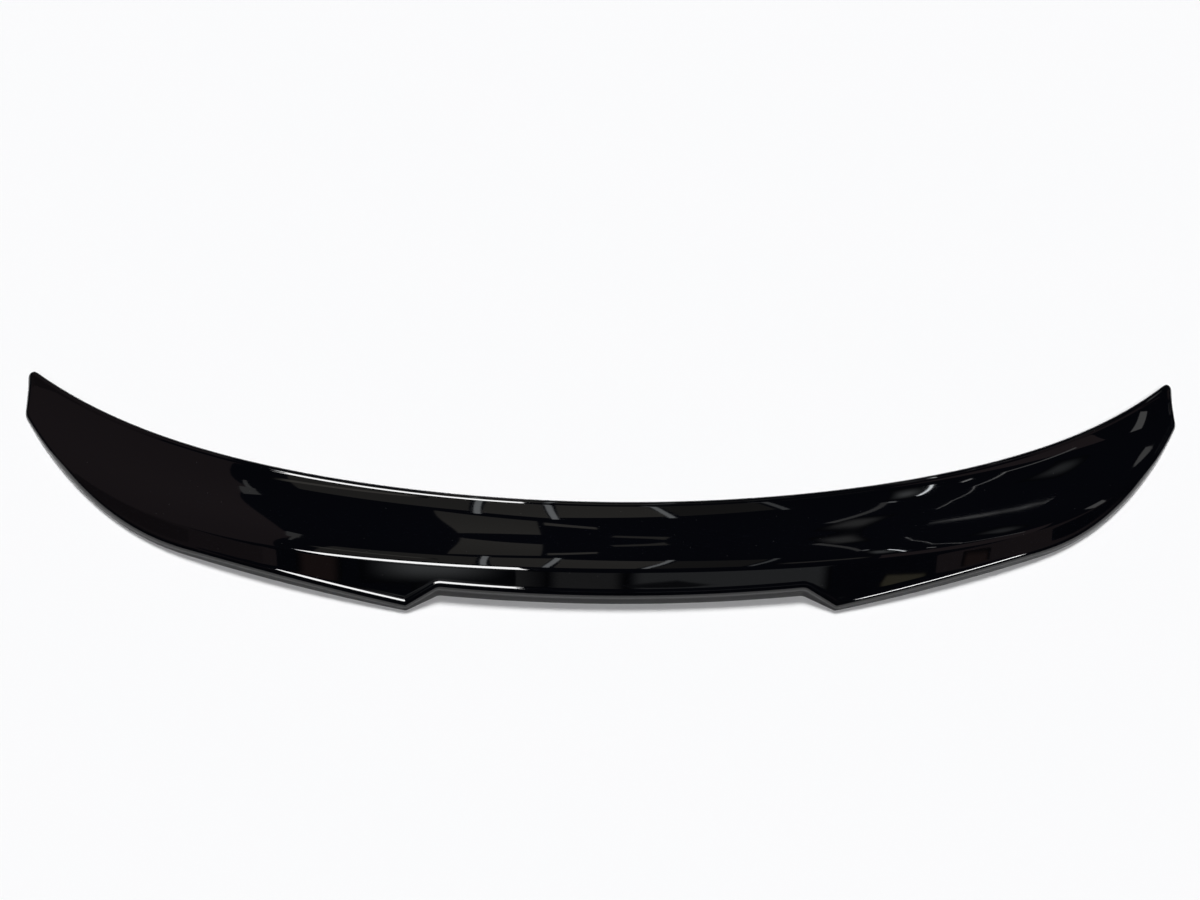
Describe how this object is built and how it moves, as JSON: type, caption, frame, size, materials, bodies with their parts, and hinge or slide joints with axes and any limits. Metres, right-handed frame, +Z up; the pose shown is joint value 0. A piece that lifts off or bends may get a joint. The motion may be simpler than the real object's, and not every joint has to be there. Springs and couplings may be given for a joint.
{
  "type": "car rear spoiler",
  "caption": "Wide, low spoiler for a car's boot lid: a gloss black moulded shell with forward-swept tips, a rounded crest, a sloping rear facet and a stepped notch in its hem.",
  "frame": {"origin": "middle of the part's box in plan, on the plane of the hem's underside", "axes": "+X to the right across the car, +Y towards the front of the car, +Z up"},
  "size_m": [1.2616, 0.2686, 0.0306],
  "materials": {
    "gloss_black": "high-gloss black paint under clear coat"
  },
  "bodies": {
    "root": {"spoiler": "gloss_black"}
  },
  "joints": []
}
